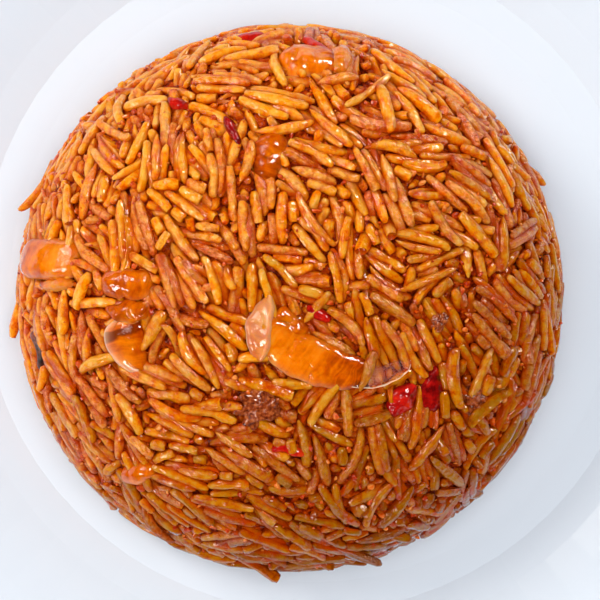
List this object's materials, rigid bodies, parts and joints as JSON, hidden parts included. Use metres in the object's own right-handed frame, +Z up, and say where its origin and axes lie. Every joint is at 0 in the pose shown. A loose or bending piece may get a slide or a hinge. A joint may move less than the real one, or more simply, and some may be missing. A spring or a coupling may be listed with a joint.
{
  "type": "jollof rice",
  "caption": "Mound of red-orange long-grain rice turned out of a bowl, with onion, pepper and meat pieces set in it, on a round white porcelain coupe plate with a foot ring.",
  "frame": {"origin": "middle of the plate's foot ring, on the table", "axes": "+Z up; seen from above with +Y away, the large onion slice lies just below and right of the mound's middle, towards +X and -Y"},
  "size_m": [0.23, 0.23, 0.0468],
  "materials": {
    "porcelain": "gloss glaze",
    "rice": "moist and oily",
    "onion": "wet gloss",
    "pepper": "wet gloss",
    "meat": "moist crumb"
  },
  "bodies": {
    "root": {"plate": "porcelain", "rice_mound": "rice", "onion_slice_middle": "onion", "onion_slice_shoulder": "onion", "onion_slice_left": "onion", "onion_petal_left": "onion", "onion_slice_top": "onion", "onion_slice_upper": "onion", "onion_strip_front": "onion", "onion_strip_right": "onion", "pepper_piece_inner": "pepper", "pepper_piece_outer": "pepper", "meat_crumb": "meat"}
  },
  "joints": []
}
